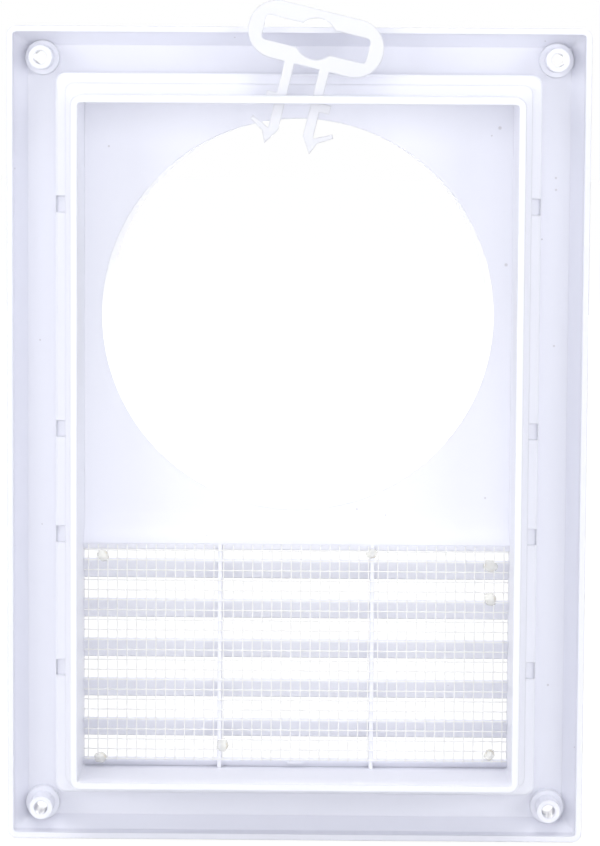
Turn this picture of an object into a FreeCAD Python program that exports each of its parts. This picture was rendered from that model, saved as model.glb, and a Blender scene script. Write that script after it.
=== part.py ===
import FreeCAD, Part
import math
import os

from FreeCAD import Vector

# Ventilation grille for a wall duct: a moulded frame with a rectangular collar
# behind it, a round duct spigot in front, a louvre under the spigot, an insect
# mesh glued behind the louvre and a plastic hang tag clipped in the collar.
# Millimetres. X runs across, Z up, and Y from the wall towards the room. The origin
# is the middle of the four screws, on the wall's surface.

# Frame
frame_width = 180.0
frame_height = 253.6
frame_depth = 13.0
frame_corner = 3.0
frame_wall = 2.0
rim_wall = 1.9
bevel_start = 6.6
bevel_inset = 4.6

# Screw bosses
screw_inset_x = 10.4
screw_inset_z = 9.7
screw_hole = 4.2
boss_root = 10.6
boss_post = 7.4
boss_step = 8.0
countersink_width = 8.4
countersink_depth = 2.0

# Trough round the frame, and the stepped shoulder between it and the collar
trough_side = 14.9
trough_end = 14.3
shoulder_corner = 3.2
shoulder_level = 2.0
shoulder_bevel = 0.6
land_step = 3.2
land_corner = 2.6
shoulder_wall = 1.9

# Latch pockets in the shoulder, placed by their share of its half height
pocket_shares = [0.64, 0.02, -0.273, -0.647]
pocket_length = 5.0
pocket_depth = 1.2
pocket_margin = 0.35

# Collar that goes into the wall
collar_step = 6.1
collar_drop = 0.7
collar_wall = 2.3
collar_corner = 3.2
collar_length = 21.5
collar_draft = 0.35
collar_bevel = 0.4

# Panel inside the collar, with its cove above the louvre
panel_wall = 2.2
panel_setback = 0.5
cove_height = 9.6
cove_gap = 4.4

# Round duct spigot
spigot_side_gap = 5.55
spigot_top_gap = 4.65
spigot_bottom_gap = 0.5
spigot_wall = 1.3
spigot_length = 40.0
spigot_bore_draft = 0.35
spigot_lead = 0.8
spigot_root = 1.5

# Louvre: as many blades as the room under the spigot holds
slat_pitch = 12.6
slat_drop = 6.1
slat_wall = 1.4
slat_edge = 0.3
bottom_slot = 2.2
rib_share = 0.357
rib_wall = 1.35
rib_setback = 2.0
gate_tab_width = 5.0
gate_tab_height = 0.9
gate_tab_wall = 1.6

# Insect mesh: every third strand of the net, at its true size
mesh_seat = 4.5
strand_width = 0.55
strand_wall = 0.5
strand_pitch_x = 3.02
strand_pitch_z = 3.15
strands_skipped = 3
mesh_side_clearance = 0.35
mesh_top_clearance = 0.4
mesh_bottom_lap = 0.1

# Drops of glue that hold the mesh to the louvre. Each gives its side, how far it
# is from that side's wall or rib, the blade it sits on, its rise above that
# blade's top, and its radius.
glue_by_wall = [
    (-1, 6.3, 0, 0.6, 2.3),
    (1, 5.8, 0, -2.0, 2.6),
    (1, 5.8, 1, 0.2, 2.5),
    (-1, 5.5, -1, -0.6, 2.2),
    (1, 5.5, -1, 1.0, 2.2),
]
glue_by_rib = [
    (1, 0.2, 0, 1.8, 2.1),
    (-1, 1.0, -1, 3.6, 2.3),
]
glue_height = 0.7
glue_crown = 0.55

# Hang tag: a flat clip with a loop, two legs and two barbs
tag_wall = 1.8
tag_behind_wall = 8.0
tag_tilt = 13.5
loop_length = 42.2
loop_height = 17.8
loop_corner = 8.8
loop_rise = 10.3
loop_shift = 0.75
loop_slot_length = 32.6
loop_slot_height = 7.6
loop_slot_corner = 1.2
loop_finger_hole = 12.6
leg_gap = 7.7
leg_width = 3.2
leg_reach = 10.4
point_reach = 15.3
barb_span = 26.2
barb_level = 8.4
barb_width = 1.2
stub_span = 20.2
stub_above = 0.6
stub_below = 2.2
slot_end_clearance = 0.3
slot_side_clearance = 0.5

# Depths worked out from the ones above
front = frame_depth
floor = frame_depth - frame_wall
panel_front = frame_depth - panel_setback
panel_rear = panel_front - panel_wall

# Outlines, each set in from the one before
screw_pitch_x = frame_width - 2 * screw_inset_x
screw_pitch_z = frame_height - 2 * screw_inset_z
shoulder_width = frame_width - 2 * trough_side
shoulder_height = frame_height - 2 * trough_end
land_width = shoulder_width - 2 * land_step
land_height = shoulder_height - 2 * land_step
collar_width = shoulder_width - 2 * collar_step
collar_height = shoulder_height - 2 * collar_step
collar_inner_width = collar_width - 2 * collar_wall
collar_inner_height = collar_height - 2 * collar_wall
collar_middle = -collar_drop
collar_top_outside = collar_middle + collar_height / 2
collar_top_inside = collar_top_outside - collar_wall
collar_bottom_inside = collar_middle - collar_height / 2 + collar_wall

# Spigot under the collar's top wall, and the louvre in the room that is left
spigot_bore = collar_inner_width - 2 * spigot_side_gap
spigot_centre = collar_top_inside - spigot_top_gap - spigot_bore / 2
louvre_room = spigot_centre - spigot_bore / 2 - spigot_bottom_gap - collar_bottom_inside
room_for_pitches = louvre_room - bottom_slot - slat_wall - cove_gap - cove_height
slat_count = int(room_for_pitches / slat_pitch) + 1
slat_last = collar_bottom_inside + bottom_slot + slat_wall
slat_first = slat_last + (slat_count - 1) * slat_pitch
rib_offset = rib_share * collar_inner_width / 2
cove_end = slat_first + cove_gap
cove_top = cove_end + cove_height
mesh_top = cove_end - mesh_top_clearance
mesh_bottom = slat_last - slat_wall + mesh_bottom_lap
cove_depth = panel_rear - mesh_seat
cove_radius = (cove_height ** 2 + cove_depth ** 2) / (2 * cove_depth)
tag_pivot = Vector(0, -tag_behind_wall, (collar_top_outside + collar_top_inside) / 2)
beyond = 1.0


def rounded_outline(width, height, radius, y, z_middle=0.0):
    """Closed outline of a rectangle with round corners, in the plane Y = y."""
    x = width / 2
    z = height / 2
    bend = radius * (1 - math.sqrt(0.5))

    def at(px, pz):
        return Vector(px, y, pz + z_middle)

    edges = []
    for sx, sz in ((1, -1), (1, 1), (-1, 1), (-1, -1)):
        along_x = at(sx * (x - radius), sz * z)
        along_z = at(sx * x, sz * (z - radius))
        middle = at(sx * (x - bend), sz * (z - bend))
        turn = (along_x, middle, along_z) if sx * sz < 0 else (along_z, middle, along_x)
        edges.append(turn)
    loop = []
    for number, turn in enumerate(edges):
        loop.append(Part.Arc(*turn).toShape())
        following = edges[(number + 1) % 4]
        loop.append(Part.LineSegment(turn[2], following[0]).toShape())
    return Part.Wire(loop)


def slab(width, height, radius, y_start, y_end, z_middle=0.0):
    """Straight block with round corners between two planes."""
    outline = rounded_outline(width, height, radius, y_start, z_middle)
    return Part.Face(outline).extrude(Vector(0, y_end - y_start, 0))


def tapered_slab(start, end, z_middle=0.0):
    """Block between two round-cornered outlines, each given as width, height, radius and Y."""
    outlines = [rounded_outline(*start, z_middle), rounded_outline(*end, z_middle)]
    return Part.makeLoft(outlines, True, True)


def bevelled_slab(width, height, radius, y_start, bevel, z_middle=0.0):
    """Thin block whose face at y_start is drawn in all round by a 45 degree bevel."""
    return tapered_slab(
        (width - 2 * bevel, height - 2 * bevel, radius - bevel, y_start),
        (width, height, radius, y_start + bevel), z_middle)


def box_between(low, high):
    """Plain block between two opposite corners."""
    size = high - low
    return Part.makeBox(size.x, size.y, size.z, low)


def turned(points, x, z):
    """Solid of revolution about the line along Y through X = x and Z = z.

    Each point gives the radius and the Y of the section's outline.
    """
    corners = [Vector(x + radius, y, z) for radius, y in points]
    section = Part.Face(Part.makePolygon(corners + corners[:1]))
    return section.revolve(Vector(x, 0, z), Vector(0, 1, 0), 360)


def across(section_points, half_width):
    """Prism along X, between -half_width and +half_width, of an outline in Y and Z."""
    corners = [Vector(-half_width, y, z) for y, z in section_points]
    section = Part.Face(Part.makePolygon(corners + corners[:1]))
    return section.extrude(Vector(2 * half_width, 0, 0))


def bezel():
    """Hollow frame: rim wall, bevelled front and the trough open to the wall."""
    inset = 2 * bevel_inset
    outside = slab(frame_width, frame_height, frame_corner, 0, bevel_start)
    outside = outside.fuse(tapered_slab(
        (frame_width, frame_height, frame_corner, bevel_start),
        (frame_width - inset, frame_height - inset, frame_corner / 2, front)))
    hollow_width = frame_width - 2 * rim_wall
    hollow_height = frame_height - 2 * rim_wall
    hollow_corner = frame_corner - rim_wall
    turn = bevel_start - frame_wall / 2
    hollow = slab(hollow_width, hollow_height, hollow_corner, -beyond, turn)
    hollow = hollow.fuse(tapered_slab(
        (hollow_width, hollow_height, hollow_corner, turn),
        (frame_width - inset - frame_wall, frame_height - inset - frame_wall, hollow_corner / 2, floor)))
    window = slab(shoulder_width - 2 * shoulder_wall, shoulder_height - 2 * shoulder_wall,
                  shoulder_corner - shoulder_wall, floor - beyond, front + beyond)
    return outside.cut(hollow).cut(window)


def shoulder():
    """Stepped wall that rises from the trough to the collar, hollow from the front."""
    lower = bevelled_slab(shoulder_width, shoulder_height, shoulder_corner, shoulder_level, shoulder_bevel)
    lower = lower.fuse(slab(shoulder_width, shoulder_height, shoulder_corner,
                            shoulder_level + shoulder_bevel, front))
    upper = slab(land_width, land_height, land_corner, 0, front)
    groove_outside = slab(shoulder_width - 2 * shoulder_wall, shoulder_height - 2 * shoulder_wall,
                          shoulder_corner - shoulder_wall, shoulder_level + shoulder_wall, front + beyond)
    groove_inside = slab(land_width - 2 * shoulder_wall, land_height - 2 * shoulder_wall,
                         land_corner - shoulder_wall, shoulder_wall, front + beyond)
    return lower.fuse(upper).cut(groove_outside.fuse(groove_inside))


def collar_block():
    """Outside of the collar, from its edge in the wall to the panel's front."""
    draft = 2 * collar_draft
    edge = bevelled_slab(collar_width, collar_height, collar_corner, -collar_length, collar_bevel, collar_middle)
    behind = tapered_slab(
        (collar_width, collar_height, collar_corner, collar_bevel - collar_length),
        (collar_width + draft, collar_height + draft, collar_corner, shoulder_wall),
        collar_middle)
    ahead = slab(collar_width, collar_height, collar_corner, shoulder_wall, panel_front, collar_middle)
    return edge.fuse([behind, ahead])


def collar_hollow(y_start, y_end):
    """Space inside the collar's walls between two planes."""
    return slab(collar_inner_width, collar_inner_height, collar_corner - collar_wall,
                y_start, y_end, collar_middle)


def panel():
    """Plate across the collar above the louvre, ending in a cove that curves back."""
    plate = box_between(
        Vector(-collar_width / 2 + collar_wall / 2, panel_rear, cove_top),
        Vector(collar_width / 2 - collar_wall / 2, panel_front, collar_top_outside - collar_wall / 2))
    centre_y = panel_rear - cove_radius
    end_angle = math.asin(cove_height / cove_radius)
    half_width = collar_width / 2 - collar_wall / 2

    def at(radius, angle):
        return Vector(-half_width, centre_y + radius * math.cos(angle), cove_top - radius * math.sin(angle))

    inner = [at(cove_radius, end_angle * share) for share in (0, 0.5, 1)]
    outer = [at(cove_radius + panel_wall, end_angle * share) for share in (0, 0.5, 1)]
    outline = Part.Wire([
        Part.Arc(*inner).toShape(),
        Part.LineSegment(inner[2], outer[2]).toShape(),
        Part.Arc(outer[2], outer[1], outer[0]).toShape(),
        Part.LineSegment(outer[0], inner[0]).toShape()])
    cove = Part.Face(outline).extrude(Vector(2 * half_width, 0, 0))
    return plate.fuse(cove)


def spigot():
    """Tube that a round duct is pushed over, with a lead at its tip and a bevel at its root."""
    outside = spigot_bore / 2 + spigot_wall
    end = panel_front + spigot_length
    inside = spigot_bore / 2 - spigot_wall / 2
    return turned([
        (inside, panel_rear), (outside + spigot_root, panel_rear), (outside + spigot_root, panel_front),
        (outside, panel_front + spigot_root), (outside, end - spigot_lead),
        (outside - spigot_lead / 2, end), (inside, end)], 0, spigot_centre)


def spigot_passage():
    """Slightly tapered bore right through the panel and the spigot."""
    end = panel_front + spigot_length
    slope = spigot_bore_draft / (end - panel_rear)
    wide = spigot_bore / 2 + slope * beyond
    narrow = spigot_bore / 2 - spigot_bore_draft - slope * beyond
    return turned([
        (0, panel_rear - beyond), (wide, panel_rear - beyond), (narrow, end + beyond), (0, end + beyond)],
        0, spigot_centre)


def slat(back_top):
    """One sloping blade: its back edge is high, its front edge low."""
    blade = across([
        (mesh_seat, back_top), (panel_front, back_top - slat_drop),
        (panel_front, back_top - slat_drop - slat_wall), (mesh_seat, back_top - slat_wall)],
        collar_inner_width / 2 + collar_wall / 2)
    back_edges = [edge for edge in blade.Edges
                  if edge.Length > collar_inner_width and edge.CenterOfMass.y < mesh_seat + slat_edge / 2]
    return blade.makeFillet(slat_edge, back_edges)


def louvre():
    """All blades, the two upright ribs that tie them and the tab under the last blade."""
    pieces = [slat(slat_first - number * slat_pitch) for number in range(slat_count)]
    for side in (-1, 1):
        middle = side * rib_offset
        pieces.append(box_between(
            Vector(middle - rib_wall / 2, mesh_seat, collar_bottom_inside - collar_wall / 2),
            Vector(middle + rib_wall / 2, panel_front - rib_setback, cove_end)))
    last_underside = slat_last - slat_wall
    pieces.append(box_between(
        Vector(-gate_tab_width / 2, mesh_seat + slat_edge, last_underside - gate_tab_height),
        Vector(gate_tab_width / 2, mesh_seat + slat_edge + gate_tab_wall, last_underside + slat_wall / 2)))
    louvre_shape = pieces[0].multiFuse(pieces[1:])
    inside_block = slab(collar_inner_width + collar_wall, collar_inner_height + collar_wall,
                        collar_corner - collar_wall / 2, mesh_seat - beyond, panel_front, collar_middle)
    return louvre_shape.common(inside_block)


def screw_places():
    """X and Z of the four screws."""
    return [(sx * screw_pitch_x / 2, sz * screw_pitch_z / 2) for sz in (1, -1) for sx in (-1, 1)]


def boss(x, z):
    """Stepped round post that carries one screw from the frame's front to the wall."""
    post = boss_post / 2
    root = boss_root / 2
    end = floor + frame_wall / 2
    return turned([(0, 0), (post, 0), (post, boss_step), (root, boss_step), (root, end), (0, end)], x, z)


def boss_opening(x, z):
    """Hole for one screw, with the countersink for its head."""
    hole = screw_hole / 2
    head = countersink_width / 2
    return turned([
        (0, -beyond), (hole, -beyond), (hole, front - countersink_depth), (head, front),
        (head, front + beyond), (0, front + beyond)], x, z)


def latch_pockets():
    """Shallow pockets in the shoulder, four down each side."""
    shoulder_edge_x = shoulder_width / 2 - pocket_margin
    land_edge_x = land_width / 2
    pockets = []
    for side in (-1, 1):
        low_x, high_x = sorted((side * land_edge_x, side * shoulder_edge_x))
        for share in pocket_shares:
            height = share * shoulder_height / 2
            pockets.append(box_between(
                Vector(low_x, shoulder_level - beyond, height - pocket_length / 2),
                Vector(high_x, shoulder_level + pocket_depth, height + pocket_length / 2)))
    return pockets[0].multiFuse(pockets[1:])


def tag_slot():
    """Slot through the collar's top wall, long enough for the tag's stubs to turn in."""
    half_length = math.hypot(stub_span / 2, stub_below) + slot_end_clearance
    half_width = tag_wall / 2 + slot_side_clearance
    return box_between(
        Vector(-half_length, -tag_behind_wall - half_width, collar_top_inside - beyond),
        Vector(half_length, -tag_behind_wall + half_width, collar_top_outside + beyond))


def grille_body():
    """The whole moulding."""
    shell = bezel().fuse(shoulder())
    shell = shell.multiFuse([boss(x, z) for x, z in screw_places()])
    shell = shell.cut(collar_hollow(-beyond, front + beyond))
    collar = collar_block().cut(collar_hollow(-collar_length - beyond, front))
    body = shell.multiFuse([collar, panel(), spigot(), louvre()])
    body = body.cut(spigot_passage())
    openings = [boss_opening(x, z) for x, z in screw_places()] + [latch_pockets(), tag_slot()]
    body = body.cut(openings)
    return body.removeSplitter()


def insect_mesh():
    """Flat net behind the louvre, with strands crossing in one plane."""
    half_width = collar_inner_width / 2 - mesh_side_clearance
    rear = mesh_seat - strand_wall
    step_x = strand_pitch_x * strands_skipped
    step_z = strand_pitch_z * strands_skipped
    columns = int(2 * half_width / step_x)
    rows = int((mesh_top - mesh_bottom) / step_z)
    upright_places = [(number - columns / 2) * step_x for number in range(columns + 1)]
    upright_places = [-half_width + strand_width / 2] + upright_places + [half_width - strand_width / 2]
    middle_z = (mesh_top + mesh_bottom) / 2
    level_places = [middle_z + (number - rows / 2) * step_z for number in range(rows + 1)]
    level_places = [mesh_bottom + strand_width / 2] + level_places + [mesh_top - strand_width / 2]
    strands = []
    for x in upright_places:
        strands.append(box_between(
            Vector(x - strand_width / 2, rear, mesh_bottom),
            Vector(x + strand_width / 2, mesh_seat, mesh_top)))
    for z in level_places:
        strands.append(box_between(
            Vector(-half_width, rear, z - strand_width / 2),
            Vector(half_width, mesh_seat, z + strand_width / 2)))
    return strands[0].multiFuse(strands[1:]).removeSplitter()


def glue_spots(mesh):
    """Low round drops that grip the net and touch the louvre's back edges."""
    crest = mesh_seat - strand_wall - glue_height
    places = [(side * (collar_inner_width / 2 - inset), blade, rise, radius)
              for side, inset, blade, rise, radius in glue_by_wall]
    places += [(side * (rib_offset - inset), blade, rise, radius)
               for side, inset, blade, rise, radius in glue_by_rib]
    drops = []
    for x, blade, rise, radius in places:
        z = slat_first - blade % slat_count * slat_pitch + rise
        drop = turned([(0, crest), (glue_crown * radius, crest), (radius, mesh_seat), (0, mesh_seat)], x, z)
        drops.append(drop.cut(mesh))
    return Part.makeCompound(drops)


def tag_loop():
    """Loop of the tag with its long slot and the round hole in the slot's middle."""
    middle = loop_rise + loop_height / 2
    outside = slab(loop_length, loop_height, loop_corner, -tag_wall / 2, tag_wall / 2, middle)
    inside = slab(loop_slot_length, loop_slot_height, loop_slot_corner, -tag_wall, tag_wall, middle)
    finger_hole = Part.makeCylinder(loop_finger_hole / 2, 2 * tag_wall, Vector(0, -tag_wall, middle),
                                    Vector(0, 1, 0))
    loop = outside.cut(inside.fuse(finger_hole))
    loop.translate(Vector(loop_shift, 0, 0))
    return loop


def tag_leg(side):
    """One leg with its point and swept-back barb, as one flat outline."""
    inner = leg_gap / 2
    outer = inner + leg_width
    top = loop_rise + (loop_height - loop_slot_height) / 4
    end = barb_span / 2
    points = [
        (inner, top), (outer, top),
        (outer, -leg_reach), (end - barb_width / 2, barb_width / 2 - barb_level),
        (end, -barb_level - barb_width / 2), (outer + leg_width / 2, -leg_reach - barb_width),
        (outer, -point_reach), (inner, -leg_reach)]
    corners = [Vector(side * x, -tag_wall / 2, z) for x, z in points]
    outline = Part.Face(Part.makePolygon(corners + corners[:1]))
    return outline.extrude(Vector(0, tag_wall, 0))


def tag_stubs():
    """Short bar ends beside the legs, which centre the tag in its slot."""
    inner = leg_gap / 2 + leg_width / 2
    stubs = []
    for side in (-1, 1):
        low_x, high_x = sorted((side * inner, side * stub_span / 2))
        stubs.append(box_between(
            Vector(low_x, -tag_wall / 2, -stub_below),
            Vector(high_x, tag_wall / 2, stub_above)))
    return stubs


def hang_tag():
    """Clip in its upright frame, then tilted about its pivot and set in the slot."""
    tag = tag_loop().fuse([tag_leg(-1), tag_leg(1)] + tag_stubs()).removeSplitter()
    tag.rotate(Vector(0, 0, 0), Vector(0, 1, 0), tag_tilt)
    tag.translate(tag_pivot)
    return tag


def write_parts():
    """One STEP file for each separate piece."""
    os.makedirs("parts", exist_ok=True)
    mesh = insect_mesh()
    shapes = {
        "grille_body": grille_body(),
        "insect_mesh": mesh,
        "glue_spots": glue_spots(mesh),
        "hang_tag": hang_tag(),
    }
    for name, shape in shapes.items():
        box = shape.BoundBox
        print(name, "solids", len(shape.Solids), "valid", shape.isValid(), "volume", round(shape.Volume, 1),
              "x", round(box.XMin, 2), round(box.XMax, 2), "y", round(box.YMin, 2), round(box.YMax, 2),
              "z", round(box.ZMin, 2), round(box.ZMax, 2))
        shape.exportStep("parts/" + name + ".step")


write_parts()
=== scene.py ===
import math

import bpy
import numpy as np
from mathutils import Matrix, Vector


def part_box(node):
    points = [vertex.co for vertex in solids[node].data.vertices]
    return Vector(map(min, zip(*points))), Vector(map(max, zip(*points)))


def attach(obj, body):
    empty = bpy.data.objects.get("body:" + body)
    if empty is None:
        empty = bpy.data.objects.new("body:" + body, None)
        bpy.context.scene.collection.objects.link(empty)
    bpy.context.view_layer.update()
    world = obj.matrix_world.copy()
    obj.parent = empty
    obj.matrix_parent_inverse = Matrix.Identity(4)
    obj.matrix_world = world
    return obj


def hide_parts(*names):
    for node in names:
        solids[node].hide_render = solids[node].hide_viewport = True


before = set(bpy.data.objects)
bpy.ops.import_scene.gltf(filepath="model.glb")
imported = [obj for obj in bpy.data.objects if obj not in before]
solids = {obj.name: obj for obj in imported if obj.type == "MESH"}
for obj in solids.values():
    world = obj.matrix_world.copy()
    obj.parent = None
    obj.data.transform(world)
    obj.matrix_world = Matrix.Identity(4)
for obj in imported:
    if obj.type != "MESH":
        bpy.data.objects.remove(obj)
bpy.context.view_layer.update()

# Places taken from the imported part. Metres; the wall side is -Y.
MM = 0.001
body_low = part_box("grille_body")[0]
mesh_low, mesh_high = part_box("insect_mesh")
floor_gap = 1.0 * MM
floor_z = body_low.z - floor_gap
floor_reach = 8.0

# The woven net. Strands rise and sink by a share of their radius where they cross.
strand_pitch_x = 3.02 * MM
strand_pitch_z = 3.15 * MM
strand_radius = 0.21 * MM
strand_rise = 0.6
strand_sides = 6
steps_per_crossing = 4
net_drop = 0.65 * MM

# The glue drops: rings from the middle to the rim, and points round each ring
glue_rings = 7
glue_turns = 36
glue_sink = 0.04 * MM
glue_phase_step = 1.7
same_place_digits = 7

# Dark specks on the moulding, in millimetres: X, Y, Z and radius
specks = [
    (-59.1, 10.3, 89.8, 0.45), (62.4, 10.3, 96.2, 0.75), (64.8, 10.3, 53.7, 0.7),
    (18.9, 10.3, -23.3, 0.4), (59.1, 10.3, -19.5, 0.45), (48.1, 10.3, 5.9, 0.4),
    (-70.1, 0.0, -6.7, 0.6), (80.0, 11.0, 80.8, 0.5), (80.1, 11.0, 77.1, 0.5),
    (80.1, 11.0, 28.4, 0.45), (79.6, 11.0, -78.8, 0.5), (-80.6, 11.0, 29.2, 0.4),
]
speck_core = 0.4
speck_strength = 0.3

# The lamps: name, place, size, watts and colour. Each one faces the part's middle.
white_light = (1.0, 1.0, 1.0)
warm_light = (1.0, 0.98, 0.90)
lamps = [
    ("front", (0.0, -2.18, 0.26), (1.4, 1.4), 7.0, white_light),
    ("above", (0.0, -1.32, 1.76), (1.8, 1.8), 7.0, white_light),
    ("steep", (-0.1, -0.45, 1.7), (0.9, 0.9), 9.0, white_light),
    ("left", (-1.41, -1.67, 0.26), (1.0, 1.0), 9.0, white_light),
    ("right", (1.41, -1.67, 0.26), (1.0, 1.0), 9.5, white_light),
    ("far_left", (-2.07, -0.76, 0.33), (1.4, 1.4), 4.5, white_light),
    ("behind", (0.0, 2.6, 0.09), (1.0, 0.5), 14.5, warm_light),
    ("behind_above", (0.2, 1.75, 1.85), (1.3, 1.0), 18.5, warm_light),
]
ambient_colour = (0.89, 0.92, 1.0, 1)
ambient_strength = 0.385

# The camera, in the part's frame: its place, and its pitch, roll and yaw in degrees
camera_place = Vector((9.7, -1080.9, 107.9)) * MM
camera_turn = (5.45, 0.41, -0.50)
camera_clips = (0.01, 60.0)
focal_pixels = 3500.0
photo_height = 846.0


class Shade:
    """A node's output, with the arithmetic that the finishes below use."""

    def __init__(self, nodes, socket):
        self.nodes = nodes
        self.socket = socket

    def math(self, operation, *others):
        return self.nodes.add("ShaderNodeMath", {"operation": operation}, self, *others)

    def __add__(self, other):
        return self.math("ADD", other)

    __radd__ = __add__

    def __rsub__(self, other):
        return self.nodes.add("ShaderNodeMath", {"operation": "SUBTRACT"}, other, self)

    def __mul__(self, other):
        return self.math("MULTIPLY", other)

    __rmul__ = __mul__

    def above(self, limit):
        """1 where the value is over the limit, else 0."""
        return self.math("GREATER_THAN", limit)

    def ramp(self, low, high):
        """0 below low, 1 above high, and smooth between them."""
        return self.nodes.add("ShaderNodeMapRange", {"interpolation_type": "SMOOTHSTEP"},
                              self, low, high, 0.0, 1.0)


class Nodes:
    """The node tree of one material, emptied, with a method that adds any node."""

    def __init__(self, name):
        self.material = bpy.data.materials.new(name)
        self.material.use_nodes = True
        self.tree = self.material.node_tree
        self.tree.nodes.clear()
        self.place = self.output_of("ShaderNodeTexCoord", "Object")

    def fill(self, target, value):
        """Puts a value on a socket, or links another node's output to it."""
        if isinstance(value, Shade):
            self.tree.links.new(value.socket, target)
        else:
            target.default_value = value

    def make(self, kind, settings, values):
        """Adds a node with its settings, and fills sockets given by number or by name."""
        node = self.tree.nodes.new(kind)
        for name, value in settings.items():
            setattr(node, name, value)
        for key, value in values:
            self.fill(node.inputs[key], value)
        return node

    def add(self, kind, settings, *values, output=0, **named):
        """Adds a node: settings first, then its sockets in order, then sockets by name."""
        pairs = list(enumerate(values))
        pairs += [(name.replace("_", " "), value) for name, value in named.items()]
        return Shade(self, self.make(kind, settings, pairs).outputs[output])

    def output_of(self, kind, output):
        """One output of a node that needs no settings."""
        return Shade(self, self.make(kind, {}, []).outputs[output])

    def mix(self, factor, first, second):
        """Colour between first and second."""
        factor_socket, first_socket, second_socket, colour_output = 0, 6, 7, 2
        pairs = [(factor_socket, factor), (first_socket, first), (second_socket, second)]
        node = self.make("ShaderNodeMix", {"data_type": "RGBA"}, pairs)
        return Shade(self, node.outputs[colour_output])

    def noise(self, scale, detail=2.0, roughness=0.5):
        return self.add("ShaderNodeTexNoise", {}, Vector=self.place, Scale=scale, Detail=detail,
                        Roughness=roughness)

    def soft_edges(self, radius):
        """Normals that round every sharp edge by a small radius."""
        return self.add("ShaderNodeBevel", {"samples": 4}, radius)

    def bump(self, strength, distance, height, normal):
        """Fine relief on top of other normals."""
        return self.add("ShaderNodeBump", {}, Strength=strength, Distance=distance, Height=height,
                        Normal=normal)

    def dust(self, cells_per_metre, radius, share):
        """1 on small round grains: one point in each cell of space, and a share of the points."""
        cells = self.make("ShaderNodeTexVoronoi", {},
                          [("Vector", self.place), ("Scale", cells_per_metre)])
        near = Shade(self, cells.outputs["Distance"])
        pick = self.add("ShaderNodeSeparateColor", {}, Shade(self, cells.outputs["Color"]))
        return (radius * cells_per_metre - near).above(0.0) * pick.above(1 - share)

    def distance_to(self, point):
        """Distance from a point in the part's frame, in metres."""
        return self.add("ShaderNodeVectorMath", {"operation": "DISTANCE"}, self.place,
                        tuple(point), output="Value")

    def surface(self, shader):
        self.make("ShaderNodeOutputMaterial", {}, [("Surface", shader)])
        return self.material


def give(thing, material):
    """One material on a whole piece."""
    thing.data.materials.clear()
    thing.data.materials.append(material)


def place_in_scene(name, data):
    """A new object of the scene with the given data."""
    thing = bpy.data.objects.new(name, data)
    bpy.context.scene.collection.objects.link(thing)
    return thing


def white_moulding():
    """Smooth white plastic with a faint lavender cast, soft edges, a fine grain and specks."""
    nodes = Nodes("white_moulding")
    cloud = nodes.noise(14.0, 3.0)
    colour = nodes.mix(cloud, (0.902, 0.908, 0.974, 1), (0.918, 0.922, 0.982, 1))
    marks = nodes.dust(250.0, 0.3 * MM, 0.04)
    for x, y, z, radius in specks:
        away = nodes.distance_to(Vector((x, y, z)) * MM)
        marks = marks + (1 - away.ramp(speck_core * radius * MM, radius * MM))
    colour = nodes.mix(marks * speck_strength, colour, (0.30, 0.26, 0.24, 1))
    relief = nodes.bump(0.04, 0.08 * MM, nodes.noise(900.0), nodes.soft_edges(0.6 * MM))
    shader = nodes.add("ShaderNodeBsdfPrincipled", {}, Base_Color=colour,
                       Roughness=0.36 + 0.08 * cloud, IOR=1.5, Normal=relief)
    return nodes.surface(shader)


def net_strand():
    """White polymer strand, a little warm, with a soft sheen."""
    nodes = Nodes("net_strand")
    cloud = nodes.noise(60.0)
    colour = nodes.mix(cloud, (0.92, 0.915, 0.895, 1), (0.95, 0.945, 0.93, 1))
    shader = nodes.add("ShaderNodeBsdfPrincipled", {}, Base_Color=colour, Roughness=0.45)
    return nodes.surface(shader)


def yellowed_glue():
    """Milky, half clear glue with a yellow cast, and thin brown streaks along its rim."""
    nodes = Nodes("yellowed_glue")
    rim = nodes.add("ShaderNodeAttribute", {"attribute_name": "rim"}, output="Fac")
    band = rim.ramp(0.62, 0.72) * (1 - rim.ramp(0.80, 0.90))
    streak = band * nodes.noise(330.0, 3.0, 0.6).ramp(0.55, 0.60)
    haze = nodes.noise(700.0)
    milky = nodes.mix(haze, (0.95, 0.94, 0.86, 1), (0.97, 0.965, 0.92, 1))
    colour = nodes.mix(streak, milky, (0.58, 0.52, 0.40, 1))
    shader = nodes.add("ShaderNodeBsdfPrincipled", {}, Base_Color=colour,
                       Roughness=0.3 + 0.2 * haze, Alpha=0.45 + 0.4 * streak)
    return nodes.surface(shader)


def tag_plastic():
    """White tag plastic with rounded edges, a sheen and faint flow marks."""
    nodes = Nodes("tag_plastic")
    cloud = nodes.noise(40.0)
    colour = nodes.mix(cloud, (0.82, 0.822, 0.865, 1), (0.87, 0.872, 0.905, 1))
    relief = nodes.bump(0.08, 0.1 * MM, nodes.noise(320.0), nodes.soft_edges(0.8 * MM))
    shader = nodes.add("ShaderNodeBsdfPrincipled", {}, Base_Color=colour,
                       Roughness=0.26 + 0.1 * cloud, Normal=relief)
    return nodes.surface(shader)


def mesh_piece(name, points, curved, flat, material):
    """A new piece on the grille, from points, the faces of its curved walls and its flat ends."""
    data = bpy.data.meshes.new(name)
    data.from_pydata(points.tolist(), [], curved + flat)
    smooth = np.arange(len(curved) + len(flat)) < len(curved)
    data.polygons.foreach_set("use_smooth", smooth)
    data.update()
    piece = place_in_scene(name, data)
    give(piece, material)
    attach(piece, "grille")
    return piece


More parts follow.
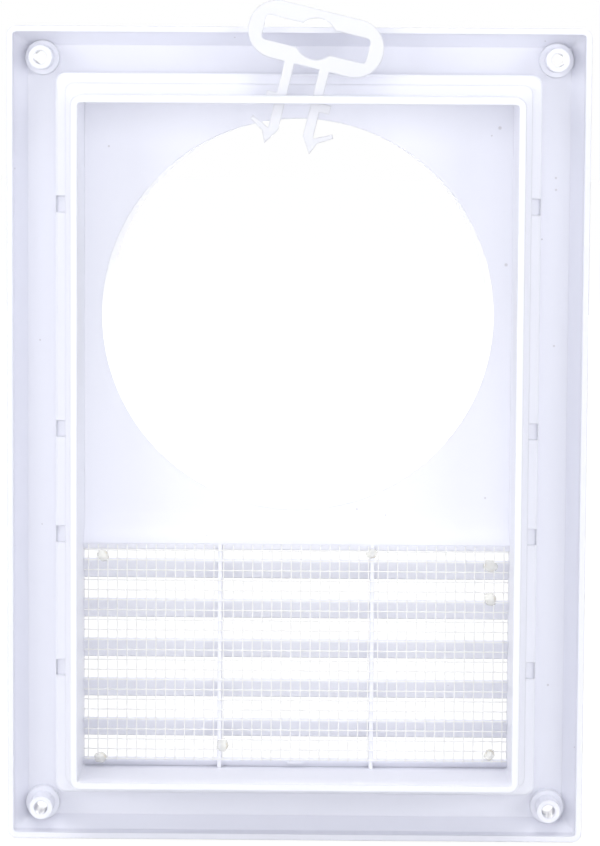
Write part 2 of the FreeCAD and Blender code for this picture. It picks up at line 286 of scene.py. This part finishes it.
def tubes(centres, across_one, across_two, radius):
    """Tubes round many paths at once.

    Each path is a row of centres. A point of the wall is centre + radius * (cos(a) * across_one
    + sin(a) * across_two), with a stepping round the tube. Every end closes on its own centre.
    """
    paths, steps, _ = centres.shape
    angle = 2 * math.pi * np.arange(strand_sides) / strand_sides
    ring = np.cos(angle)[:, None] * across_one + np.sin(angle)[:, None] * across_two
    wall = centres[:, :, None, :] + radius * ring[None, None, :, :]
    points = np.concatenate([wall.reshape(paths, -1, 3), centres[:, :1], centres[:, -1:]], axis=1)
    along, around = np.meshgrid(np.arange(steps - 1), np.arange(strand_sides), indexing="ij")
    here = along * strand_sides
    above = (along + 1) * strand_sides
    following = (around + 1) % strand_sides
    quads = np.stack([here + around, here + following, above + following, above + around], -1)
    rim = np.arange(strand_sides)
    next_rim = (rim + 1) % strand_sides
    last_ring = (steps - 1) * strand_sides
    first_centre = np.full_like(rim, steps * strand_sides)
    start = np.stack([next_rim, rim, first_centre], -1)
    end = np.stack([last_ring + rim, last_ring + next_rim, first_centre + 1], -1)
    offset = (np.arange(paths) * points.shape[1])[:, None, None]
    walls = (quads.reshape(-1, 4) + offset).reshape(-1, 4)
    ends = (np.concatenate([start, end]) + offset).reshape(-1, 3)
    return points.reshape(-1, 3), walls, ends


def woven_net(material):
    """The net: upright and level strands that pass over and under each other.

    A strand's offset from the net's middle plane is a cosine along its length with one half wave
    for each crossing, and neighbouring strands are half a wave apart.
    """
    x_middle, y_middle, z_middle = (mesh_low + mesh_high) / 2
    lift = strand_radius * strand_rise
    columns = int((mesh_high.x - mesh_low.x) / strand_pitch_x)
    rows = int((mesh_high.z - mesh_low.z) / strand_pitch_z)
    xs = x_middle + (np.arange(columns + 1) - columns / 2) * strand_pitch_x
    zs = z_middle - net_drop + (np.arange(rows + 1) - rows / 2) * strand_pitch_z
    along_z = np.linspace(mesh_low.z, mesh_high.z, rows * steps_per_crossing + 1)
    along_x = np.linspace(mesh_low.x, mesh_high.x, columns * steps_per_crossing + 1)
    upright_waves = (along_z[None, :] - zs[0]) / strand_pitch_z + np.arange(len(xs))[:, None]
    upright = np.empty((len(xs), len(along_z), 3))
    upright[:, :, 0] = xs[:, None]
    upright[:, :, 1] = y_middle + lift * np.cos(math.pi * upright_waves)
    upright[:, :, 2] = along_z[None, :]
    level_waves = (along_x[None, :] - xs[0]) / strand_pitch_x + np.arange(len(zs))[:, None]
    level = np.empty((len(zs), len(along_x), 3))
    level[:, :, 0] = along_x[None, :]
    level[:, :, 1] = y_middle - lift * np.cos(math.pi * level_waves)
    level[:, :, 2] = zs[:, None]
    x_axis, y_axis, z_axis = np.eye(3)
    upright_points, upright_walls, upright_ends = tubes(upright, y_axis, x_axis, strand_radius)
    level_points, level_walls, level_ends = tubes(level, z_axis, y_axis, strand_radius)
    shift = len(upright_points)
    points = np.concatenate([upright_points, level_points])
    walls = upright_walls.tolist() + (level_walls + shift).tolist()
    ends = upright_ends.tolist() + (level_ends + shift).tolist()
    net = mesh_piece("woven_net", points, walls, ends, material)
    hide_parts("insect_mesh")


def islands(node):
    """Corners of each separate shell of a node. Corners at one place count as one."""
    data = node.data
    corners = np.round([corner.co for corner in data.vertices], same_place_digits)
    places, same = np.unique(corners, axis=0, return_inverse=True)
    label = np.arange(len(places))
    ends = same.reshape(-1)[np.array([edge.vertices for edge in data.edges])]
    while True:
        lowest = np.minimum(label[ends[:, 0]], label[ends[:, 1]])
        before = label.copy()
        np.minimum.at(label, ends[:, 0], lowest)
        np.minimum.at(label, ends[:, 1], lowest)
        if np.array_equal(before, label):
            return [places[label == value] for value in np.unique(label)]


def glue_drops(node, material):
    """Uneven low drops in the places of the plain ones, each sunk a hair into its seat.

    At angle a, a drop's rim is radius * (0.88 + 0.08 cos(2a + p) + 0.04 cos(5a + 2p)) from its
    middle, with p different for each drop. At the share s of that distance it stands
    height * (1 - s^2)^0.7 off its seat.
    """
    angle = np.arange(glue_turns) * 2 * math.pi / glue_turns
    share = np.linspace(0, 1, glue_rings + 1)[1:]
    crown_point, base_point, first_ring = 0, 1, 2
    rows = first_ring + np.arange(glue_rings - 1)[:, None] * glue_turns
    ring = rows + np.arange(glue_turns)
    after = rows + (np.arange(glue_turns) + 1) % glue_turns
    wall = np.stack([ring, ring + glue_turns, after + glue_turns, after], -1).reshape(-1, 4)
    last = (glue_rings - 1) * glue_turns
    crown = np.stack([np.full(glue_turns, crown_point), ring[0], after[0]], -1)
    base = np.stack([after[0] + last, ring[0] + last, np.full(glue_turns, base_point)], -1)
    points, domes, bases = [], [], []
    shells = islands(node)
    for number, shell in enumerate(shells):
        low, high = shell.min(axis=0), shell.max(axis=0)
        middle = (low + high) / 2
        seat = high[1] + glue_sink
        radius = min(high[0] - low[0], high[2] - low[2]) / 2
        phase = glue_phase_step * number
        wave = 0.88 + 0.08 * np.cos(2 * angle + phase) + 0.04 * np.cos(5 * angle + 2 * phase)
        reach = share[:, None] * radius * wave
        lift = (seat - low[1]) * (1 - share[:, None] ** 2) ** 0.7
        dome = np.stack([middle[0] + reach * np.cos(angle), seat - lift + 0 * reach,
                         middle[2] + reach * np.sin(angle)], -1).reshape(-1, 3)
        start = sum(len(part) for part in points)
        centres = [[middle[0], low[1], middle[2]], [middle[0], seat, middle[2]]]
        points.append(np.vstack([centres, dome]))
        domes += (crown + start).tolist() + (wall + start).tolist()
        bases += (base + start).tolist()
    drops = mesh_piece("glue_drops", np.concatenate(points), domes, bases, material)
    rims = np.tile(np.concatenate([[0.0, 1.0], np.repeat(share, glue_turns)]), len(shells))
    attribute = drops.data.attributes.new("rim", "FLOAT", "POINT")
    attribute.data.foreach_set("value", rims)
    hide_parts("glue_spots")


def lamp(name, place, size, power, tint):
    """A soft rectangular lamp that faces the part's middle."""
    data = bpy.data.lights.new(name, "AREA")
    data.shape = "RECTANGLE"
    data.size, data.size_y = size
    data.energy = power
    data.color = tint
    holder = place_in_scene(name, data)
    holder.location = place
    holder.rotation_euler = (-Vector(place)).to_track_quat("-Z", "Y").to_euler()


def pale_floor():
    """A large plain floor under the part, with its soft shadow.

    To the camera the floor is nearly white, and clear when seen from below.
    """
    data = bpy.data.meshes.new("floor")
    corners = [(-1, -1), (1, -1), (1, 1), (-1, 1)]
    data.from_pydata([(x * floor_reach, y * floor_reach, floor_z) for x, y in corners], [],
                     [(0, 1, 2, 3)])
    floor = place_in_scene("floor", data)
    nodes = Nodes("pale_floor")
    seen = nodes.output_of("ShaderNodeLightPath", "Is Camera Ray")
    matt = nodes.add("ShaderNodeBsdfDiffuse", {}, Color=(0.96, 0.96, 0.96, 1))
    faint = nodes.add("ShaderNodeBsdfDiffuse", {}, Color=(0.13, 0.13, 0.13, 1))
    glow = nodes.add("ShaderNodeEmission", {}, Color=(1, 1, 1, 1), Strength=0.955)
    bright = nodes.add("ShaderNodeAddShader", {}, faint, glow)
    top = nodes.add("ShaderNodeMixShader", {}, seen, matt, bright)
    below = nodes.output_of("ShaderNodeNewGeometry", "Backfacing")
    clear = nodes.output_of("ShaderNodeBsdfTransparent", "BSDF")
    give(floor, nodes.surface(nodes.add("ShaderNodeMixShader", {}, below, top, clear)))


def white_surroundings():
    """Even pale light from all round, and plain white where the camera sees past the floor."""
    world = bpy.data.worlds.new("surroundings")
    bpy.context.scene.world = world
    world.use_nodes = True
    tree = world.node_tree
    tree.nodes.clear()
    path = tree.nodes.new("ShaderNodeLightPath")
    ambient = tree.nodes.new("ShaderNodeBackground")
    ambient.inputs["Color"].default_value = ambient_colour
    ambient.inputs["Strength"].default_value = ambient_strength
    white = tree.nodes.new("ShaderNodeBackground")
    white.inputs["Color"].default_value = (1, 1, 1, 1)
    white.inputs["Strength"].default_value = 1.0
    mix = tree.nodes.new("ShaderNodeMixShader")
    out = tree.nodes.new("ShaderNodeOutputWorld")
    tree.links.new(path.outputs["Is Camera Ray"], mix.inputs[0])
    tree.links.new(ambient.outputs[0], mix.inputs[1])
    tree.links.new(white.outputs[0], mix.inputs[2])
    tree.links.new(mix.outputs[0], out.inputs["Surface"])


def photo_camera():
    """The camera at the photo's viewing angle."""
    pitch, roll, yaw = (math.radians(angle) for angle in camera_turn)
    to_camera = (Matrix.Rotation(yaw, 3, "Z") @ Matrix.Rotation(pitch, 3, "X")
                 @ Matrix.Rotation(roll, 3, "Y"))
    right, forward, up = to_camera
    data = bpy.data.cameras.new("camera")
    data.lens = focal_pixels / photo_height * data.sensor_width
    data.clip_start, data.clip_end = camera_clips
    camera = place_in_scene("camera", data)
    turned = Matrix((right, up, -forward)).transposed().to_4x4()
    camera.matrix_world = Matrix.Translation(camera_place) @ turned
    bpy.context.scene.camera = camera


strand = net_strand()
glue = yellowed_glue()
give(solids["grille_body"], white_moulding())
give(solids["insect_mesh"], strand)
give(solids["glue_spots"], glue)
give(solids["hang_tag"], tag_plastic())
woven_net(strand)
glue_drops(solids["glue_spots"], glue)

pale_floor()
white_surroundings()
for values in lamps:
    lamp(*values)
photo_camera()
bpy.context.scene.view_settings.view_transform = "Standard"
